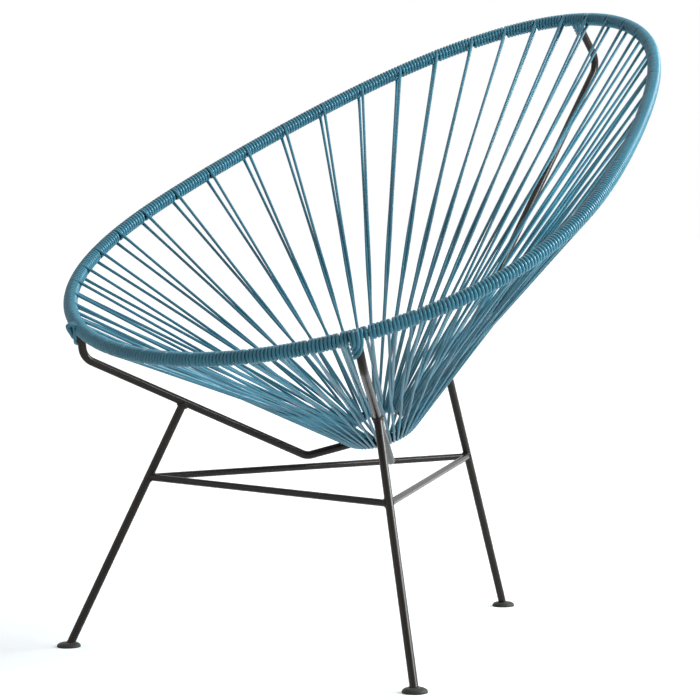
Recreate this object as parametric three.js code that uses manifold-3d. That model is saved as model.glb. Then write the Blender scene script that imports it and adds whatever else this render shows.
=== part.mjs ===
import * as THREE from 'three';
import { mergeVertices } from 'three/addons/utils/BufferGeometryUtils.js';
import Module from 'manifold-3d';

// Lounge chair: a corded egg-shaped hoop on a three-legged rod frame.
// Millimetres, +Z up, front towards -Y. Left and right are as seen from the front: +X is right.
// Heights are measured from the floor. Places along Y are measured from the hoop's middle,
// forward or back, and the finished chair is centred over its own bounds at the end.

// Hoop rod, bent to an egg outline in one tilted plane
const hoopRodDiameter = 9.5;
const hoopHalfWidth = 356;
const hoopHalfLength = 510;
const hoopHeight = 627.3;
const hoopTilt = THREE.MathUtils.degToRad(26.9);
const hoopWidthShares = [0.234, 0.226, -0.025];
const hoopLengthShares = [-0.19, -0.071];

// Ring under the seat, parallel to the hoop
const ringRadius = 48;
const ringRodDiameter = 9;
const ringForward = 46.5;
const ringHeight = 285.8;

// Rods of the arms, legs and stretchers
const frameRodDiameter = 11;
const stretcherDiameter = 9;
const elbowRadius = 24;
const bendRadius = 18;

// Front arms: hoop, elbow, bend, ring. The elbow's drop is measured from the hoop where the arm
// leaves it.
const frontArmHoopShare = 0.0861;
const elbowHalfSpread = 228;
const elbowForward = 384.5;
const elbowDrop = 39.8;
const bendHalfSpread = 70.5;
const bendForward = 117.3;
const bendHeight = 245.8;

// Rear arm
const rearElbowBack = 515.5;
const rearElbowHeight = 795.3;
const rearBendBack = 111;
const rearBendHeight = 336.3;

// Legs and their feet
const frontFootHalfSpread = 284;
const frontFootForward = 361.7;
const rearFootBack = 250.3;
const legJointShare = { left: 0.44, right: 0.5, rear: 0.986 };
const legEndHeight = 4.5;
const footRadius = 16;
const footRimHeight = 1.4;
const footHeight = 6.2;
const footCrownRadius = 7.5;

// Heights at which the stretchers meet the legs
const stretcherHeight = { left: 225.8, right: 214.3, rear: 225.8 };

// Cord: wound round the hoop, with pairs of strands down to the ring
const windingThickness = 4.5;
const windingGrooveDepth = 1;
const strandDiameter = 3.8;
const strandPairSpread = 5.6;
const pairsBetweenFrontArms = 12;
const pairsOnEachSide = 21;
const pairsInSection = 3;
const ribsInBay = 3;
const pairSpacingShares = [0.0593, -0.05, -0.006, -0.0018];
const overRingCrowding = THREE.MathUtils.degToRad(2);

// Gap left between two pieces that touch
const clearance = 0.3;

// Facets
const rodSides = 10;
const cordSides = 5;
const windingSides = 8;
const hoopSides = 8;
const hoopStepsInBay = 1;
const ringSteps = 36;
const bendSteps = 4;
const loopSteps = 4;
const footSides = 20;

const steelColour = 0x1f1b1a;
const cordColour = 0x2f7f9c;
const footColour = 0x171514;

const wasm = await Module();
wasm.setup();

const pairCount = pairsBetweenFrontArms + 2 * pairsOnEachSide;
const hoopNormal = new THREE.Vector3(0, -Math.sin(hoopTilt), Math.cos(hoopTilt));
const hoopUpslope = new THREE.Vector3(0, Math.cos(hoopTilt), Math.sin(hoopTilt));
const sideways = new THREE.Vector3(1, 0, 0);

function place(x, y, z) {
  return new THREE.Vector3(x, y, z);
}

function along(start, direction, distance) {
  return start.clone().addScaledVector(direction, distance);
}

function directionTo(start, end) {
  return end.clone().sub(start).normalize();
}

// Hoop outline: the angle runs from the front middle round by +X to the back

class HoopCurve extends THREE.Curve {
  getPoint(share, target = new THREE.Vector3()) {
    const angle = 2 * Math.PI * share;
    const ahead = Math.cos(angle);
    const beside = Math.sin(angle);
    const [first, second, third] = hoopWidthShares;
    const [pinch, lean] = hoopLengthShares;
    const widening = 1 + first * ahead + second * ahead ** 2 + third * ahead ** 3;
    const across = hoopHalfWidth * beside * widening;
    const up = hoopHalfLength * (lean * beside ** 2 - ahead * (1 + pinch * beside ** 2));
    return target
      .set(0, 0, hoopHeight)
      .addScaledVector(sideways, across)
      .addScaledVector(hoopUpslope, up);
  }
}

const hoop = new HoopCurve();
hoop.arcLengthDivisions = 1440;
const hoopLength = hoop.getLength();

function wrapped(share) {
  return ((share % 1) + 1) % 1;
}

function hoopFrame(share) {
  const centre = hoop.getPointAt(wrapped(share));
  const tangent = hoop.getTangentAt(wrapped(share));
  const outward = tangent.clone().cross(hoopNormal).normalize();
  return { centre, tangent, axes: [hoopNormal, outward] };
}

// Pairs are numbered from the front middle round by +X. A whole number lies midway between two
// pairs: the front arms and the rear arm meet the hoop at such places.

const frontArmPlace = pairsBetweenFrontArms / 2;
const rearArmPlace = pairCount / 2;

function hoopShareAt(pairPlace) {
  if (pairPlace > rearArmPlace) return 1 - hoopShareAt(pairCount - pairPlace);
  if (pairPlace <= frontArmPlace) return frontArmHoopShare * pairPlace / frontArmPlace;
  const fromTop = (rearArmPlace - pairPlace) / pairsOnEachSide;
  const bunching = pairSpacingShares.reduce(
    (sum, share, i) => sum + share * Math.sin((i + 1) * Math.PI * fromTop), 0);
  return 1 / 2 - (1 / 2 - frontArmHoopShare) * (fromTop + bunching);
}

// Ring under the seat

const ringCentre = place(0, -ringForward, ringHeight);

function ringOutward(angle) {
  return sideways.clone().multiplyScalar(Math.sin(angle))
    .addScaledVector(hoopUpslope, -Math.cos(angle));
}

function ringPoint(angle) {
  return along(ringCentre, ringOutward(angle), ringRadius);
}

function ringAngleAt(pairPlace) {
  return 2 * Math.PI * pairPlace / pairCount;
}

// Over the ring the strands crowd towards the back

function overRingAngleAt(pairPlace) {
  const turned = ringAngleAt(pairPlace - rearArmPlace);
  const crowding = overRingCrowding * Math.sin(2 * turned) * Math.cos(turned / 2) ** 2;
  return ringAngleAt(pairPlace) - crowding;
}

// Under the ring they stand apart to let each arm's end through
const armStrandGap = frameRodDiameter / 2 + strandDiameter / 2 + clearance;

function underRingAngleAt(pairPlace) {
  const armPlaces = [-frontArmPlace, frontArmPlace, rearArmPlace, pairCount - frontArmPlace,
    pairCount + frontArmPlace];
  const next = armPlaces.findIndex((armPlace) => armPlace > pairPlace);
  const start = ringAngleAt(armPlaces[next - 1]) + armStrandGap / ringRadius;
  const end = ringAngleAt(armPlaces[next]) - armStrandGap / ringRadius;
  const pairs = armPlaces[next] - armPlaces[next - 1];
  const rank = (pairPlace - armPlaces[next - 1] - 1 / 2) / (pairs - 1);
  return start + (end - start) * rank;
}

// Closed skin through rings of equal count; ends are capped unless the rings close on themselves

function skinThrough(rings, closed) {
  const sides = rings[0].length;
  const positions = rings.flat().flatMap((point) => [point.x, point.y, point.z]);
  const index = [];
  const bands = closed ? rings.length : rings.length - 1;
  for (let i = 0; i < bands; i++) {
    const here = i * sides;
    const there = ((i + 1) % rings.length) * sides;
    for (let j = 0; j < sides; j++) {
      const k = (j + 1) % sides;
      index.push(here + j, here + k, there + k, here + j, there + k, there + j);
    }
  }
  if (!closed) {
    const last = (rings.length - 1) * sides;
    for (let j = 1; j < sides - 1; j++) {
      index.push(0, j + 1, j, last, last + j, last + j + 1);
    }
  }
  const geometry = new THREE.BufferGeometry();
  geometry.setAttribute('position', new THREE.Float32BufferAttribute(positions, 3));
  geometry.setIndex(index);
  return geometry;
}

function sectionRing(centre, axes, radius, sides) {
  const [first, second] = axes;
  return Array.from({ length: sides }, (_, j) => {
    const angle = 2 * Math.PI * (j + 1 / 2) / sides;
    return along(along(centre, first, radius * Math.cos(angle)), second, radius * Math.sin(angle));
  });
}

function rodAlong(points, radius, sides) {
  const rings = [];
  let across = null;
  points.forEach((point, i) => {
    const before = i > 0 ? directionTo(points[i - 1], point) : directionTo(point, points[1]);
    const after = i < points.length - 1 ? directionTo(point, points[i + 1]) : before;
    const tangent = before.clone().add(after).normalize();
    if (!across) {
      const helper = Math.abs(tangent.x) < Math.abs(tangent.z) ? sideways : place(0, 0, 1);
      across = helper.clone();
    }
    across.addScaledVector(tangent, -across.dot(tangent)).normalize();
    const other = tangent.clone().cross(across);
    rings.push(sectionRing(point, [across.clone(), other], radius, sides));
  });
  return skinThrough(rings, false);
}

// Straight runs with a round bend at each inner corner

function bentPath(corners, radii) {
  const path = [corners[0]];
  for (let i = 1; i < corners.length - 1; i++) {
    const inward = directionTo(corners[i], corners[i - 1]);
    const onward = directionTo(corners[i], corners[i + 1]);
    const turn = Math.PI - inward.angleTo(onward);
    const setback = radii[i - 1] * Math.tan(turn / 2);
    const middle = inward.clone().add(onward).normalize();
    const centre = along(corners[i], middle, radii[i - 1] / Math.cos(turn / 2));
    const start = along(corners[i], inward, setback).sub(centre);
    const axis = inward.clone().cross(onward).normalize();
    for (let j = 0; j <= bendSteps; j++) {
      path.push(start.clone().applyAxisAngle(axis, -turn * j / bendSteps).add(centre));
    }
  }
  path.push(corners[corners.length - 1]);
  return path;
}

// Joins and cuts

function toSolid(geometry) {
  const bare = new THREE.BufferGeometry();
  bare.setAttribute('position', geometry.getAttribute('position').clone());
  bare.setIndex(geometry.getIndex());
  const merged = mergeVertices(bare);
  return new wasm.Manifold(new wasm.Mesh({
    numProp: 3,
    vertProperties: Float32Array.from(merged.getAttribute('position').array),
    triVerts: Uint32Array.from(merged.getIndex().array),
  }));
}

function toGeometry(solid) {
  const mesh = solid.getMesh();
  const geometry = new THREE.BufferGeometry();
  geometry.setAttribute('position', new THREE.BufferAttribute(mesh.vertProperties, 3));
  geometry.setIndex(new THREE.BufferAttribute(mesh.triVerts, 1));
  return geometry;
}

// Arms: each ends in a saddle on the hoop rod above and under the ring below

function hoopEnd(pairPlace, elbow) {
  const centre = hoopFrame(hoopShareAt(pairPlace)).centre;
  return along(centre, directionTo(centre, elbow), hoopRodDiameter / 4);
}

function ringEnd(pairPlace) {
  const below = ringRodDiameter / 2 + frameRodDiameter / 2 + clearance;
  return along(ringPoint(ringAngleAt(pairPlace)), hoopNormal, -below);
}

function makeArm(pairPlace, elbow, bend) {
  return { pairPlace, corners: [hoopEnd(pairPlace, elbow), elbow, bend, ringEnd(pairPlace)] };
}

const elbowHeight = hoopFrame(frontArmHoopShare).centre.z - elbowDrop;

const arms = {
  right: makeArm(frontArmPlace,
    place(elbowHalfSpread, -elbowForward, elbowHeight),
    place(bendHalfSpread, -bendForward, bendHeight)),
  left: makeArm(pairCount - frontArmPlace,
    place(-elbowHalfSpread, -elbowForward, elbowHeight),
    place(-bendHalfSpread, -bendForward, bendHeight)),
  rear: makeArm(rearArmPlace,
    place(0, rearElbowBack, rearElbowHeight),
    place(0, rearBendBack, rearBendHeight)),
};

function armRod(arm, radius) {
  return rodAlong(bentPath(arm.corners, [elbowRadius, bendRadius]), radius, rodSides);
}

function armGeometry(arm) {
  const saddle = toSolid(boreSkin(arm.pairPlace, arm.pairPlace));
  return toGeometry(toSolid(armRod(arm, frameRodDiameter / 2)).subtract(saddle));
}

// Legs: from the foot up to the arm's run between elbow and bend

function makeLeg(arm, foot, jointShare) {
  const top = arm.corners[1].clone().lerp(arm.corners[2], jointShare);
  const axis = directionTo(foot, top);
  const end = along(foot, axis, legEndHeight / axis.z);
  return { arm, foot, top, axis, end };
}

const legs = {
  right: makeLeg(arms.right, place(frontFootHalfSpread, -frontFootForward, 0), legJointShare.right),
  left: makeLeg(arms.left, place(-frontFootHalfSpread, -frontFootForward, 0), legJointShare.left),
  rear: makeLeg(arms.rear, place(0, rearFootBack, 0), legJointShare.rear),
};

function legRod(leg, radius, overrun) {
  return rodAlong([along(leg.end, leg.axis, -overrun), leg.top], radius, rodSides);
}

function legGeometry(leg) {
  const saddle = toSolid(armRod(leg.arm, frameRodDiameter / 2 + clearance));
  return toGeometry(toSolid(legRod(leg, frameRodDiameter / 2, 0)).subtract(saddle));
}

function footGeometry(leg) {
  const crown = new THREE.EllipseCurve(footCrownRadius, footRimHeight,
    footRadius - footCrownRadius, footHeight - footRimHeight, 0, Math.PI / 2);
  const outline = [new THREE.Vector2(0, 0), new THREE.Vector2(footRadius, 0),
    ...crown.getPoints(bendSteps), new THREE.Vector2(0, footHeight)];
  const pad = new THREE.LatheGeometry(outline, footSides);
  pad.rotateX(Math.PI / 2);
  pad.translate(leg.foot.x, leg.foot.y, 0);
  const socket = toSolid(legRod(leg, frameRodDiameter / 2 + clearance, clearance));
  return toGeometry(toSolid(pad).subtract(socket));
}

// Stretchers: straight rods between the legs, the side ones cut round the front one

function legPointAt(name) {
  const leg = legs[name];
  return along(leg.foot, leg.axis, stretcherHeight[name] / leg.axis.z);
}

function stretcherRod(from, to, radius) {
  return toSolid(rodAlong([legPointAt(from), legPointAt(to)], radius, rodSides));
}

function stretcherGeometry(from, to, others) {
  const cutters = [from, to].map((name) => toSolid(
    legRod(legs[name], frameRodDiameter / 2 + clearance, 0)));
  for (const [start, end] of others) {
    cutters.push(stretcherRod(start, end, stretcherDiameter / 2 + clearance));
  }
  const rod = stretcherRod(from, to, stretcherDiameter / 2);
  return toGeometry(cutters.reduce((solid, cutter) => solid.subtract(cutter), rod));
}

// Hoop rod and ring

function hoopRodRings(radius, firstPlace, lastPlace) {
  const rings = [];
  for (let step = firstPlace * hoopStepsInBay; step <= lastPlace * hoopStepsInBay; step++) {
    const frame = hoopFrame(hoopShareAt(step / hoopStepsInBay));
    rings.push(sectionRing(frame.centre, frame.axes, radius, hoopSides));
  }
  return rings;
}

function hoopGeometry() {
  const rings = hoopRodRings(hoopRodDiameter / 2, 0, pairCount);
  rings.pop();
  return skinThrough(rings, true);
}

function ringGeometry() {
  const ring = new THREE.TorusGeometry(ringRadius, ringRodDiameter / 2, rodSides, ringSteps);
  ring.rotateX(hoopTilt);
  ring.translate(ringCentre.x, ringCentre.y, ringCentre.z);
  return ring;
}

// Cord: a strand leaves the hoop's upper side, passes under the ring, turns round it and comes back
// over it to the hoop's underside, so that the two strands of a pair cross midway

const strandOnHoop = hoopRodDiameter / 2 + clearance + strandDiameter / 2;
const strandOnRing = ringRodDiameter / 2 + clearance + strandDiameter / 2;

function hoopStart(pairPlace, offset, target, side) {
  const frame = hoopFrame(hoopShareAt(pairPlace) + offset / hoopLength);
  const off = directionTo(frame.centre, target).cross(frame.tangent).normalize();
  return along(frame.centre, off, Math.sign(off.dot(hoopNormal)) * side * strandOnHoop);
}

// Angle round the ring rod at which a strand from a start on the hoop lies straight out
function strandSlope(start, ringAngle) {
  const fall = start.clone().sub(ringPoint(ringAngle));
  return Math.atan2(fall.dot(hoopNormal), fall.dot(ringOutward(ringAngle)));
}

function strandPath(pairPlace) {
  const underAngle = underRingAngleAt(pairPlace);
  const overAngle = overRingAngleAt(pairPlace);
  const upper = hoopStart(pairPlace, -strandPairSpread / 2, ringPoint(underAngle), 1);
  const lower = hoopStart(pairPlace, strandPairSpread / 2, ringPoint(overAngle), -1);
  const first = strandSlope(upper, underAngle) - Math.PI / 2;
  const last = strandSlope(lower, overAngle) - 3 * Math.PI / 2;
  const step = (last - first) / loopSteps;
  const loop = Array.from({ length: loopSteps + 1 }, (_, i) => {
    const turned = first + step * i;
    const inner = i > 0 && i < loopSteps;
    const reach = inner ? strandOnRing / Math.cos(step / 2) : strandOnRing;
    const spread = Math.max(i - 1, 0) / (loopSteps - 1);
    const angle = underAngle + (overAngle - underAngle) * spread;
    return along(along(ringPoint(angle), ringOutward(angle), reach * Math.cos(turned)),
      hoopNormal, reach * Math.sin(turned));
  });
  return [upper, ...loop, lower];
}

function windingSkin(firstPlace, lastPlace) {
  const steps = 2 * ribsInBay * (lastPlace - firstPlace);
  const gap = clearance / 2 / hoopLength;
  const crest = hoopRodDiameter / 2 + clearance + windingThickness;
  const rings = Array.from({ length: steps + 1 }, (_, i) => {
    const nearShare = hoopShareAt(firstPlace) + gap;
    const farShare = hoopShareAt(lastPlace) - gap;
    const share = hoopShareAt(firstPlace + (lastPlace - firstPlace) * i / steps);
    const frame = hoopFrame(THREE.MathUtils.clamp(share, nearShare, farShare));
    const radius = i % 2 ? crest : crest - windingGrooveDepth;
    return sectionRing(frame.centre, frame.axes, radius, windingSides);
  });
  return skinThrough(rings, false);
}

function boreSkin(firstPlace, lastPlace) {
  const radius = hoopRodDiameter / 2 + clearance;
  return skinThrough(hoopRodRings(radius, firstPlace - 1, lastPlace + 1), false);
}

function armRoom(arm) {
  const [start, elbow] = arm.corners;
  const centre = hoopFrame(hoopShareAt(arm.pairPlace)).centre;
  const radius = frameRodDiameter / 2 + clearance;
  return toSolid(rodAlong([centre, start.clone().lerp(elbow, 1 / 2)], radius, rodSides));
}

function cordSection(firstPlace) {
  const lastPlace = firstPlace + pairsInSection;
  let section = toSolid(windingSkin(firstPlace, lastPlace));
  for (let pair = firstPlace; pair < lastPlace; pair++) {
    const strand = rodAlong(strandPath(pair + 1 / 2), strandDiameter / 2, cordSides);
    section = section.add(toSolid(strand));
  }
  section = section.subtract(toSolid(boreSkin(firstPlace, lastPlace)));
  for (const arm of Object.values(arms)) {
    const nearby = [firstPlace, lastPlace].includes(arm.pairPlace);
    if (nearby) section = section.subtract(armRoom(arm));
  }
  return toGeometry(section);
}

// The least gap between the loops of neighbouring pairs

function leastLoopGap() {
  let least = Infinity;
  for (let pair = 0; pair < pairCount; pair++) {
    const here = strandPath(pair + 1 / 2).slice(1, -1);
    const next = strandPath((pair + 1) % pairCount + 1 / 2).slice(1, -1);
    here.forEach((point, i) => {
      least = Math.min(least, point.distanceTo(next[i]) - strandDiameter);
    });
  }
  return least;
}

console.log(`least gap between neighbouring cord loops ${leastLoopGap().toFixed(2)} mm`);

// Materials and the finished chair

const steel = new THREE.MeshStandardMaterial({ color: steelColour, roughness: 0.42, metalness: 0.5 });
const cord = new THREE.MeshStandardMaterial({ color: cordColour, roughness: 0.38, metalness: 0 });
const cap = new THREE.MeshStandardMaterial({ color: footColour, roughness: 0.6, metalness: 0 });

const chair = new THREE.Group();
chair.name = 'chair';

function addPiece(name, geometry, material) {
  const piece = new THREE.Mesh(geometry, material);
  piece.name = name;
  chair.add(piece);
}

addPiece('hoop_rod', hoopGeometry(), steel);
addPiece('centre_ring', ringGeometry(), steel);
for (const side of ['left', 'right', 'rear']) {
  addPiece(`arm_${side}`, armGeometry(arms[side]), steel);
  addPiece(`leg_${side}`, legGeometry(legs[side]), steel);
  addPiece(`foot_${side}`, footGeometry(legs[side]), cap);
}
addPiece('stretcher_front', stretcherGeometry('left', 'right', []), steel);
addPiece('stretcher_left', stretcherGeometry('left', 'rear', [['left', 'right']]), steel);
addPiece('stretcher_right', stretcherGeometry('right', 'rear', [['left', 'right'], ['left', 'rear']]),
  steel);
for (let firstPlace = 0; firstPlace < pairCount; firstPlace += pairsInSection) {
  const number = String(firstPlace / pairsInSection + 1).padStart(2, '0');
  addPiece(`cord_section_${number}`, cordSection(firstPlace), cord);
}

const bounds = new THREE.Box3().setFromObject(chair);
chair.position.set(0, -(bounds.min.y + bounds.max.y) / 2, 0);

export default chair;
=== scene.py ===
import math

import bpy
import numpy as np
from mathutils import Matrix, Vector


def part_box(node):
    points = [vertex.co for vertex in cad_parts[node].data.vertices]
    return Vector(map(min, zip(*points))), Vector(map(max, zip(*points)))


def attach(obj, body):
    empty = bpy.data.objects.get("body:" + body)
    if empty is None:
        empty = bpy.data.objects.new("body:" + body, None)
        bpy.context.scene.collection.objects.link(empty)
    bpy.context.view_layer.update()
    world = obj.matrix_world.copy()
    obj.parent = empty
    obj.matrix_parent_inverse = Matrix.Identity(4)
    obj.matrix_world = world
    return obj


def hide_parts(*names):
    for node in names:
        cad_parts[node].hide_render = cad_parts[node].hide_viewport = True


# Lounge chair: an egg-shaped hoop wound with round cord, and pairs of strands let down to a small
# ring, on a welded frame of three arms, three legs and three stretchers. Metres, front towards -Y.

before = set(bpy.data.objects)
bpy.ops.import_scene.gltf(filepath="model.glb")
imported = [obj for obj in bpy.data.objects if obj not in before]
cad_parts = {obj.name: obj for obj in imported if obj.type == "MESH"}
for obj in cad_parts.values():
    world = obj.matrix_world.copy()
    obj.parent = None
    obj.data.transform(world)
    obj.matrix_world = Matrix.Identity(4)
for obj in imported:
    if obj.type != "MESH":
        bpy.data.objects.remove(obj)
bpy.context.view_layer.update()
mm = 0.001

# Main sizes, the same as the solids' own
hoop_rod_diameter = 9.5 * mm
hoop_half_width = 356 * mm
hoop_half_length = 510 * mm
hoop_height = 627.3 * mm
hoop_tilt = math.radians(26.9)
hoop_width_shares = (0.234, 0.226, -0.025)
hoop_length_shares = (-0.19, -0.071)

ring_radius = 48 * mm
ring_rod_diameter = 9 * mm
ring_forward = 46.5 * mm

frame_rod_diameter = 11 * mm
stretcher_diameter = 9 * mm
elbow_radius = 24 * mm
bend_radius = 18 * mm

elbow_half_spread = 228 * mm
elbow_forward = 384.5 * mm
elbow_drop = 39.8 * mm
bend_half_spread = 70.5 * mm
bend_forward = 117.3 * mm
bend_height = 245.8 * mm

rear_elbow_back = 515.5 * mm
rear_elbow_height = 795.3 * mm
rear_bend_back = 111 * mm
rear_bend_height = 336.3 * mm

front_foot_half_spread = 284 * mm
front_foot_forward = 361.7 * mm
rear_foot_back = 250.3 * mm
leg_joint_share = {"left": 0.44, "right": 0.5, "rear": 0.986}
leg_end_height = 4.5 * mm
stretcher_height = {"left": 225.8 * mm, "right": 214.3 * mm, "rear": 225.8 * mm}

foot_radius = 16 * mm
foot_rim_height = 1.4 * mm
foot_height = 6.2 * mm
foot_crown_radius = 7.5 * mm

# Cord and how it runs
cord_diameter = 4.9 * mm
taut_diameter = 4.05 * mm
loop_diameter = 3.95 * mm
winding_pitch = 4.95 * mm
pair_half_spread = 2.8 * mm
pairs_between_front_arms = 12
pairs_on_each_side = 21
pairs_in_section = 3
front_arm_hoop_share = 0.0861
pair_spacing_shares = (0.0593, -0.05, -0.006, -0.0018)
ring_crowding = math.radians(4.6)
under_ring_crowding = math.radians(2.2)

# Small gaps, so that no two skins lie in one place
weld_gap = 0.3 * mm
arm_to_cord_gap = 0.2 * mm
ring_to_cord_gap = 0.1 * mm

# How finely the pieces are drawn
outline_steps = 5760
turn_steps = 20
loop_steps = 12
cord_sides = 10
rod_sides = 24
bend_steps = 12
seam_steps = 36
round_seam_steps = 32
ring_sides = 20
ring_steps = 96
foot_sides = 48

pair_count = pairs_between_front_arms + 2 * pairs_on_each_side
front_arm_place = pairs_between_front_arms / 2
rear_arm_place = pair_count / 2
winding_radius = (hoop_rod_diameter + cord_diameter) / 2
arm_winding_radius = (frame_rod_diameter + cord_diameter) / 2

# The frame gives where the chair stands along Y
ring_low, ring_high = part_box("centre_ring")
ring_centre = np.array((ring_low + ring_high) / 2)
hoop_middle_y = ring_centre[1] + ring_forward
hoop_centre = np.array((0, hoop_middle_y, hoop_height))

sideways = np.array((1.0, 0, 0))
hoop_upslope = np.array((0, math.cos(hoop_tilt), math.sin(hoop_tilt)))
hoop_normal = np.array((0, -math.sin(hoop_tilt), math.cos(hoop_tilt)))


def unit(vector):
    """The vector, or each row of an array of them, at length one."""
    return vector / np.linalg.norm(vector, axis=-1, keepdims=True)


def at(x, y, z):
    """A place whose Y is measured from the middle of the hoop."""
    return np.array((x, hoop_middle_y + y, z))


# Camera, at the photograph's viewing angle


def add_camera():
    """A long lens in front of the chair and to its right, a little above it."""
    azimuth = math.radians(37.259)
    elevation = math.radians(3.105)
    roll = math.radians(-0.511)
    focal_pixels = 2567.06
    picture_side = 700
    middle_across = 354.14
    middle_down = 344.47
    place = (2.0731, -2.8515, 0.5833)
    forward = -Vector((math.sin(azimuth) * math.cos(elevation),
                       -math.cos(azimuth) * math.cos(elevation),
                       math.sin(elevation)))
    right = forward.cross(Vector((0, 0, 1))).normalized()
    up = right.cross(forward)
    rolled_right = right * math.cos(roll) + up * math.sin(roll)
    rolled_up = up * math.cos(roll) - right * math.sin(roll)
    camera_data = bpy.data.cameras.new("photo_camera")
    camera_data.sensor_width = 36
    camera_data.lens = focal_pixels * camera_data.sensor_width / picture_side
    camera_data.shift_x = (picture_side / 2 - middle_across) / picture_side
    camera_data.shift_y = (middle_down - picture_side / 2) / picture_side
    camera = bpy.data.objects.new("photo_camera", camera_data)
    turn = Matrix((rolled_right, rolled_up, -forward)).transposed()
    camera.matrix_world = Matrix.Translation(place) @ turn.to_4x4()
    bpy.context.scene.collection.objects.link(camera)
    bpy.context.scene.camera = camera


add_camera()

# Hoop outline, measured along its length from the front middle round by +X

outline_angles = np.linspace(0, 2 * math.pi, outline_steps + 1)


def hoop_outline(angle):
    """The middle of the hoop rod at an angle, 0 at the front and pi at the back."""
    ahead = np.cos(angle)
    beside = np.sin(angle)
    first, second, third = hoop_width_shares
    pinch, lean = hoop_length_shares
    widening = 1 + first * ahead + second * ahead**2 + third * ahead**3
    across = hoop_half_width * beside * widening
    up = hoop_half_length * (lean * beside**2 - ahead * (1 + pinch * beside**2))
    return hoop_centre + np.multiply.outer(across, sideways) + np.multiply.outer(up, hoop_upslope)


outline_points = hoop_outline(outline_angles)
outline_runs = np.linalg.norm(np.diff(outline_points, axis=0), axis=1)
outline_distances = np.concatenate(([0], np.cumsum(outline_runs)))
hoop_length = outline_distances[-1]


def hoop_frame(distance):
    """Centre, tangent and outward direction of the hoop rod at distances along it."""
    angle = np.interp(np.mod(distance, hoop_length), outline_distances, outline_angles)
    step = 0.001
    centre = hoop_outline(angle)
    tangent = unit(hoop_outline(angle + step) - hoop_outline(angle - step))
    return centre, tangent, unit(np.cross(tangent, hoop_normal))


def hoop_share(place):
    """How far round the hoop a place lies. Whole places lie midway between two pairs."""
    if place < 0:
        return hoop_share(place + pair_count) - 1
    if place > pair_count:
        return hoop_share(place - pair_count) + 1
    if place > rear_arm_place:
        return 1 - hoop_share(pair_count - place)
    if place <= front_arm_place:
        return front_arm_hoop_share * place / front_arm_place
    from_top = (rear_arm_place - place) / pairs_on_each_side
    bunching = sum(
        share * math.sin((i + 1) * math.pi * from_top)
        for i, share in enumerate(pair_spacing_shares))
    return 0.5 - (0.5 - front_arm_hoop_share) * (from_top + bunching)


def pair_distance(pair):
    """Distance along the hoop of the middle of a pair of strands."""
    return hoop_share(pair + 0.5) * hoop_length


# Ring under the seat


def ring_outward(angle):
    """Direction from the ring's middle at an angle, 0 at the front."""
    return (np.multiply.outer(np.sin(angle), sideways)
            - np.multiply.outer(np.cos(angle), hoop_upslope))


def ring_angle(place):
    """Where a whole place, such as an arm's, comes to the ring."""
    return 2 * math.pi * place / pair_count


def over_ring_angle(place):
    """Where a pair's strand lies over the ring: the strands crowd a little towards the back."""
    turned = ring_angle(place - rear_arm_place)
    return ring_angle(place) - ring_crowding * math.sin(2 * turned) * math.cos(turned / 2) ** 2


def under_ring_angle(place):
    """Where a pair's strand lies under the ring: the strands stand clear of the arms' ends."""
    places = (-front_arm_place, front_arm_place, rear_arm_place,
              pair_count - front_arm_place, pair_count + front_arm_place)
    after = next(i for i, arm_place in enumerate(places) if arm_place > place)
    gap = (frame_rod_diameter + loop_diameter + arm_to_cord_gap) / 2 / ring_radius
    start = ring_angle(places[after - 1]) + gap
    end = ring_angle(places[after]) - gap
    pairs = places[after] - places[after - 1]
    rank = (place - places[after - 1] - 0.5) / (pairs - 1)
    crowding = under_ring_crowding if pairs == pairs_on_each_side else 0
    return start + (end - start) * rank - crowding * math.sin(2 * math.pi * rank)


def ring_point(angle):
    """A point of the ring rod's middle line."""
    return ring_centre + ring_outward(angle) * ring_radius


# Arms and legs


def arm_corners(place, elbow, bend):
    """An arm's corners: on the hoop, at its elbow, at its lower bend and under the ring."""
    centre = hoop_frame(hoop_share(place) * hoop_length)[0]
    start = centre + unit(elbow - centre) * hoop_rod_diameter / 4
    below = (ring_rod_diameter + frame_rod_diameter) / 2 + weld_gap
    return [start, elbow, bend, ring_point(ring_angle(place)) - hoop_normal * below]


elbow_height = hoop_frame(front_arm_hoop_share * hoop_length)[0][2] - elbow_drop
arms = {
    "right": arm_corners(front_arm_place,
                         at(elbow_half_spread, -elbow_forward, elbow_height),
                         at(bend_half_spread, -bend_forward, bend_height)),
    "left": arm_corners(pair_count - front_arm_place,
                        at(-elbow_half_spread, -elbow_forward, elbow_height),
                        at(-bend_half_spread, -bend_forward, bend_height)),
    "rear": arm_corners(rear_arm_place,
                        at(0, rear_elbow_back, rear_elbow_height),
                        at(0, rear_bend_back, rear_bend_height)),
}
arm_places = {"right": front_arm_place, "left": pair_count - front_arm_place, "rear": rear_arm_place}

# The turns that meet an arm are hooked down round its side, on the way back (-1) or on (1) along
# the hoop. They bulge outwards over a front arm's welded end, at the hook and at the hoop.
hook_sides = {"right": -1, "left": -1, "rear": 1}
hook_depths = {"right": 17.5 * mm, "left": 14.5 * mm, "rear": 19 * mm}
hook_bulges = {"right": 6 * mm, "left": 7 * mm, "rear": 0.0}
shoulder_bulges = {"right": 6.5 * mm, "left": 9.5 * mm, "rear": 0.0}

feet = {
    "right": at(front_foot_half_spread, -front_foot_forward, 0),
    "left": at(-front_foot_half_spread, -front_foot_forward, 0),
    "rear": at(0, rear_foot_back, 0),
}


def arm_directions(side):
    """The middle of the hoop rod where an arm meets it, the way down the arm, and the ways out of
    the hoop and on along it, both made square to the arm."""
    middle = hoop_share(arm_places[side]) * hoop_length
    centre, tangent, outward = (part[0] for part in hoop_frame(np.array([middle])))
    down = unit(arms[side][1] - centre)
    outer = unit(outward - down * (outward @ down))
    beside = np.cross(down, outer)
    return centre, down, outer, beside * np.sign(beside @ tangent)


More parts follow.
